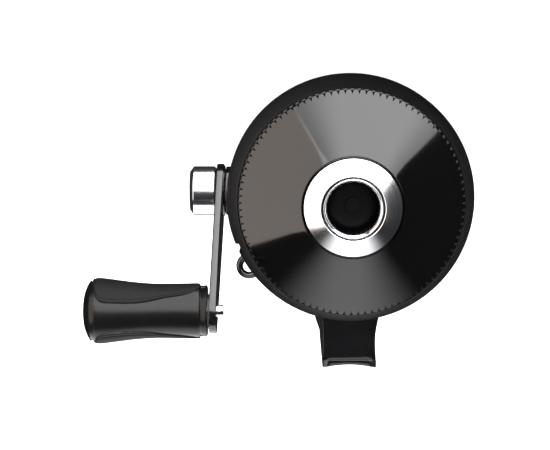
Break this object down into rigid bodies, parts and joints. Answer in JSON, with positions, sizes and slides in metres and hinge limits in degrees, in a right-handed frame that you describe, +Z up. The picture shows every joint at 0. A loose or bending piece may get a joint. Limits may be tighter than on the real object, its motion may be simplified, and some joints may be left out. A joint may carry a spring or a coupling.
{
  "type": "spincast fishing reel",
  "caption": "Closed-face fishing reel: a knurled cone cover with a polished line ring, a round body on a waisted foot, a side crank with a soft knob, and a rear thumb button.",
  "frame": {"origin": "middle of the foot's hollow underside, where a rod's reel seat holds it", "axes": "+Y backwards along the spool axis, away from the nose; +Z up; +X to the right seen from the front, so the crank is at -X"},
  "size_m": [0.1089, 0.0855, 0.084],
  "materials": {
    "cover_black": "gloss black anodised, finely turned",
    "polished_steel": "polished",
    "guide_steel": "polished",
    "body_plastic": "satin, moulded",
    "gloss_plastic": "gloss, moulded",
    "seal_rubber": "matt",
    "knob_rubber": "satin, moulded",
    "arm_black": "satin black",
    "nut_steel": "turned and polished",
    "bearing_steel": "ground",
    "shaft_steel": "ground",
    "screw_steel": "zinc plated",
    "brass": "turned",
    "deck_alloy": "die cast",
    "gear_alloy": "die cast zinc",
    "spool_plastic": "moulded",
    "rotor_alloy": "black anodised",
    "felt": "pressed felt",
    "spring_steel": "drawn wire",
    "acetal": "moulded"
  },
  "bodies": {
    "reel_body": {"front_cover": "cover_black", "nose_ring": "polished_steel", "line_guide": "guide_steel", "cover_seal": "seal_rubber", "body_shell": "body_plastic", "hook_keeper": "gloss_plastic", "rear_cover": "body_plastic", "rear_cover_screws": "screw_steel", "foot_plate": "gloss_plastic", "foot_stem": "gloss_plastic", "foot_screws": "screw_steel", "deck_plate": "deck_alloy", "deck_screws": "screw_steel", "pinion_bushing": "brass", "spool_washer": "felt", "pickup_cam": "acetal", "side_housing": "gloss_plastic", "housing_screws": "screw_steel", "crank_bearing_outer": "bearing_steel", "crank_bearing_balls": "bearing_steel", "crank_bushing": "brass", "clutch_ring": "bearing_steel", "clutch_rollers": "bearing_steel", "button_pin": "shaft_steel", "drag_spring": "spring_steel"},
    "crank": {"crankshaft": "shaft_steel", "drive_gear": "gear_alloy", "crank_clip": "spring_steel", "crank_arm": "arm_black", "crank_nut": "nut_steel", "clutch_sleeve": "bearing_steel", "crank_bearing_inner": "bearing_steel", "crank_washer": "acetal", "knob_pin": "shaft_steel", "knob_washer": "acetal"},
    "knob": {"knob_grip": "knob_rubber", "knob_sleeve": "acetal"},
    "pinion": {"pinion_gear": "brass"},
    "button": {"thumb_button": "gloss_plastic", "thumb_grip": "seal_rubber"},
    "pusher": {"shaft_pusher": "acetal", "shaft_spring": "spring_steel"},
    "rotor": {"centre_shaft": "shaft_steel", "spinner_head": "rotor_alloy", "spinner_nut": "rotor_alloy", "pickup_guide": "acetal"},
    "pickup": {"pickup_pin": "shaft_steel", "pickup_spring": "spring_steel"},
    "spool_drum": {"spool": "spool_plastic"},
    "dial": {"drag_dial": "body_plastic", "drag_screw": "shaft_steel"},
    "shoe": {"drag_shoe": "acetal"}
  },
  "joints": [
    {"name": "crank_spin", "type": "hinge", "parent": "reel_body", "child": "crank", "pos_m": [-0.02, -0.01, 0.048], "axis": [1, 0, 0], "continuous": true},
    {"name": "knob_spin", "type": "hinge", "parent": "crank", "child": "knob", "pos_m": [-0.03815, -0.04523, 0.01844], "axis": [1, 0, 0], "continuous": true},
    {"name": "pinion_spin", "type": "hinge", "parent": "reel_body", "child": "pinion", "pos_m": [0, -0.0275, 0.048], "axis": [0, 1, 0], "continuous": true},
    {"name": "thumb_press", "type": "hinge", "parent": "reel_body", "child": "button", "pos_m": [0, 0.0065, 0.039], "axis": [1, 0, 0], "range_deg": [0, 10], "stiffness_Nm_per_rad": 0.6, "springref_deg": -8.59},
    {"name": "shaft_push", "type": "slide", "parent": "reel_body", "child": "pusher", "axis": [0, -1, 0], "range_m": [0, 0.0018], "deforming": ["shaft_spring"]},
    {"name": "rotor_spin", "type": "hinge", "parent": "pusher", "child": "rotor", "pos_m": [0, -0.0275, 0.048], "axis": [0, 1, 0], "continuous": true},
    {"name": "pickup_draw", "type": "slide", "parent": "rotor", "child": "pickup", "axis": [0, 0, -1], "range_m": [0, 0.0013], "deforming": ["pickup_spring"]},
    {"name": "spool_slip", "type": "hinge", "parent": "reel_body", "child": "spool_drum", "pos_m": [0, -0.0275, 0.048], "axis": [0, 1, 0], "continuous": true},
    {"name": "drag_turn", "type": "hinge", "parent": "reel_body", "child": "dial", "pos_m": [0, -0.0275, 0.0724], "axis": [0, 1, 0], "range_deg": [0, 300]},
    {"name": "shoe_slide", "type": "slide", "parent": "reel_body", "child": "shoe", "axis": [0, -1, 0], "range_m": [0, 0.00032], "deforming": ["drag_spring"]}
  ],
  "couplings": [
    {"joint": "pinion_spin", "follows": "crank_spin", "ratio": -3.3333},
    {"joint": "rotor_spin", "follows": "crank_spin", "ratio": -3.3333},
    {"joint": "shaft_push", "follows": "thumb_press", "m_per_rad": 0.00974},
    {"joint": "pickup_draw", "follows": "thumb_press", "m_per_rad": 0.006875},
    {"joint": "shoe_slide", "follows": "drag_turn", "m_per_rad": 0.000057296}
  ]
}
